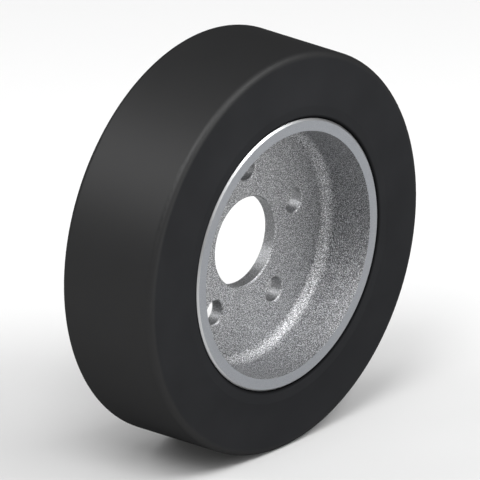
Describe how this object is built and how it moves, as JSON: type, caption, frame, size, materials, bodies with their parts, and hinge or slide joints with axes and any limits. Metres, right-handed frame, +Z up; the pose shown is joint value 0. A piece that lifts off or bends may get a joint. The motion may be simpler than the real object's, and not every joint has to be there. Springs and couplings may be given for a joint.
{
  "type": "industrial drive wheel",
  "caption": "Industrial drive wheel: cast metal rim with a recessed web, pilot bore and bolt circle for a hub flange, and a plain solid rubber tyre moulded round it.",
  "frame": {"origin": "centre of the wheel, on the axle, halfway along the rim", "axes": "+Y along the axle, from the outer face towards the hub side; +Z up; the outer face looks along -Y"},
  "size_m": [0.25, 0.075, 0.25],
  "materials": {
    "cast_rim": "grainy as-cast skin, smooth turned end faces",
    "rubber_tyre": "smooth moulded, satin"
  },
  "bodies": {
    "root": {"wheel_rim": "cast_rim", "solid_tyre": "rubber_tyre"}
  },
  "joints": []
}
